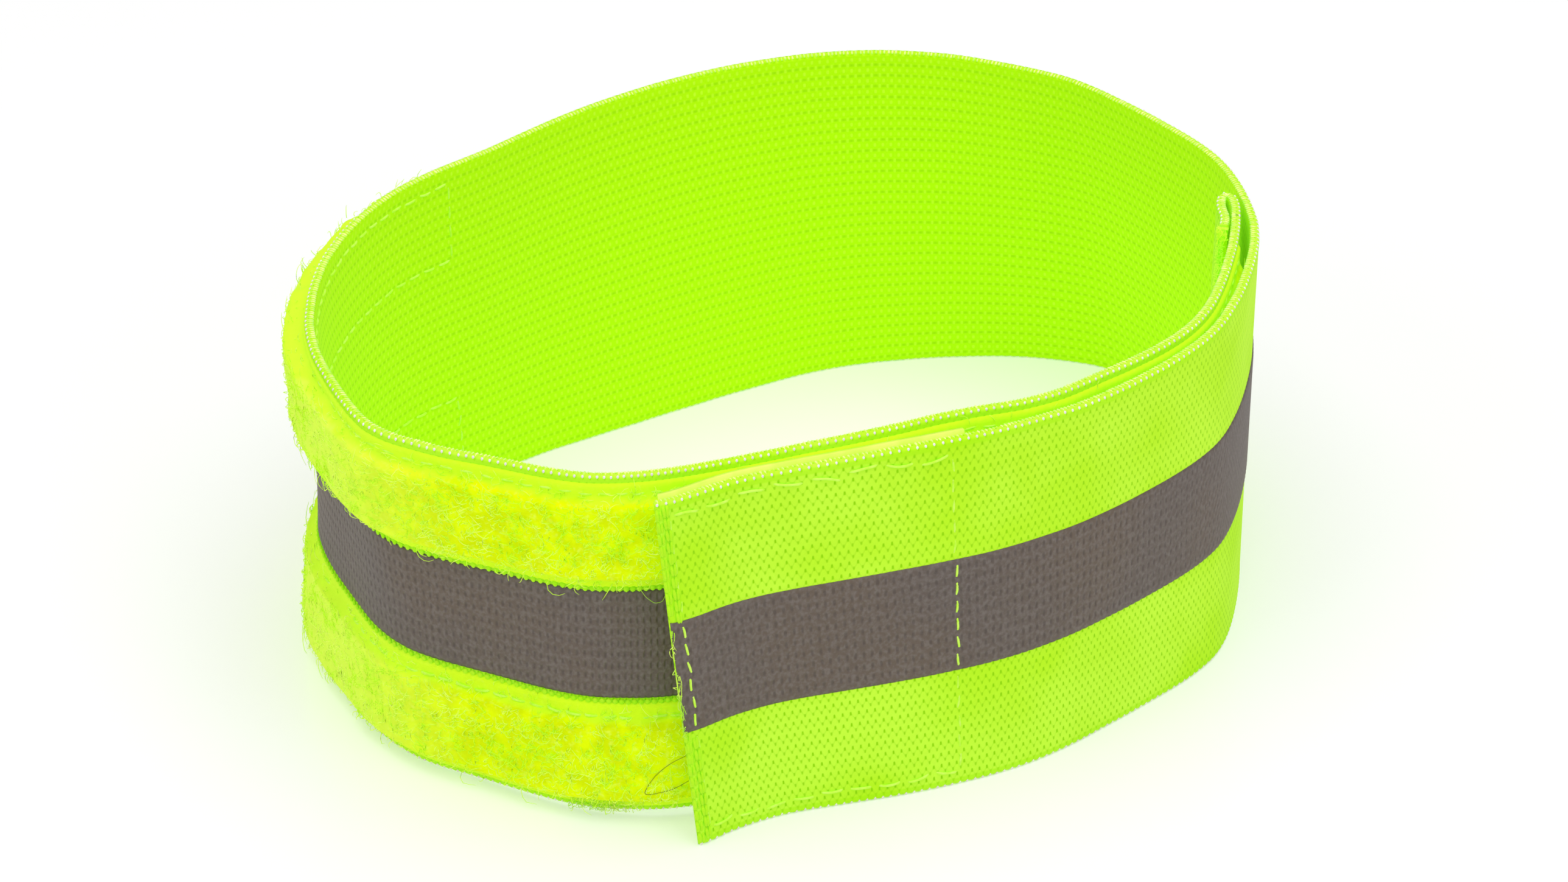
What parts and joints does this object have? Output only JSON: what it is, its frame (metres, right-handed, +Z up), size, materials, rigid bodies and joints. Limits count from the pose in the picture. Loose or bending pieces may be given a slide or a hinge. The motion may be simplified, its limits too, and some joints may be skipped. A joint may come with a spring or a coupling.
{
  "type": "elastic wrap wristband",
  "caption": "Knitted elastic wrap band with a reflective stripe, two loop strips and a hook tab that peels open.",
  "frame": {"origin": "middle of the band's box, on the ground that its lower edge stands on", "axes": "+Z up along the strap's width; the closing tab faces -Y and its free end points to -X"},
  "size_m": [0.1272, 0.1212, 0.051],
  "materials": {
    "elastic_knit": "bright yellow-green polyester knit with small staggered holes and corded edges",
    "reflective_stripe": "grey retroreflective film bonded to the knit, fine beaded sheen",
    "loop_pile": "brushed loop pile with woven margins",
    "hook_patch": "translucent yellow hook tape",
    "thread": "polyester sewing thread"
  },
  "bodies": {
    "loop": {"elastic_strap_loop": "elastic_knit", "reflective_stripe_loop": "reflective_stripe", "loop_strip_upper_loop": "loop_pile", "seam_loop_strip_upper_loop": "thread", "loop_strip_lower_loop": "loop_pile", "seam_loop_strip_lower_loop": "thread"},
    "tab_base": {"elastic_strap_tab_base": "elastic_knit", "reflective_stripe_tab_base": "reflective_stripe"},
    "tab_mid": {"elastic_strap_tab_mid": "elastic_knit", "reflective_stripe_tab_mid": "reflective_stripe"},
    "tab_end": {"elastic_strap_tab_end": "elastic_knit", "reflective_stripe_tab_end": "reflective_stripe", "hook_patch": "hook_patch", "seam_hook_patch": "thread"},
    "inner_mid": {"elastic_strap_inner_mid": "elastic_knit", "reflective_stripe_inner_mid": "reflective_stripe", "loop_strip_upper_inner_mid": "loop_pile", "seam_loop_strip_upper_inner_mid_below": "thread", "seam_loop_strip_upper_inner_mid_above": "thread", "loop_strip_lower_inner_mid": "loop_pile", "seam_loop_strip_lower_inner_mid_below": "thread", "seam_loop_strip_lower_inner_mid_above": "thread"},
    "inner_end": {"elastic_strap_inner_end": "elastic_knit", "reflective_stripe_inner_end": "reflective_stripe", "loop_strip_upper_inner_end": "loop_pile", "seam_loop_strip_upper_inner_end": "thread", "loop_strip_lower_inner_end": "loop_pile", "seam_loop_strip_lower_inner_end": "thread", "seam_inner_end_hem": "thread"}
  },
  "joints": [
    {"name": "tab_open_base", "type": "hinge", "parent": "loop", "child": "tab_base", "pos_m": [0.05085, -0.02488, 0], "axis": [0, 0, 1], "range_deg": [0, 45]},
    {"name": "tab_open_mid", "type": "hinge", "parent": "tab_base", "child": "tab_mid", "pos_m": [0.0392, -0.03611, 0], "axis": [0, 0, 1], "range_deg": [0, 45]},
    {"name": "tab_open_end", "type": "hinge", "parent": "tab_mid", "child": "tab_end", "pos_m": [0.0254, -0.04467, 0], "axis": [0, 0, 1], "range_deg": [0, 45]},
    {"name": "inner_end_flex_base", "type": "hinge", "parent": "loop", "child": "inner_mid", "pos_m": [0.03798, -0.02863, 0], "axis": [0, 0, 1], "range_deg": [0, 20]},
    {"name": "inner_end_flex_tip", "type": "hinge", "parent": "inner_mid", "child": "inner_end", "pos_m": [0.05217, -0.01201, 0], "axis": [0, 0, 1], "range_deg": [0, 20]}
  ],
  "couplings": [
    {"joint": "tab_open_mid", "follows": "tab_open_base", "ratio": 1},
    {"joint": "tab_open_end", "follows": "tab_open_base", "ratio": 1},
    {"joint": "inner_end_flex_tip", "follows": "inner_end_flex_base", "ratio": 1}
  ]
}
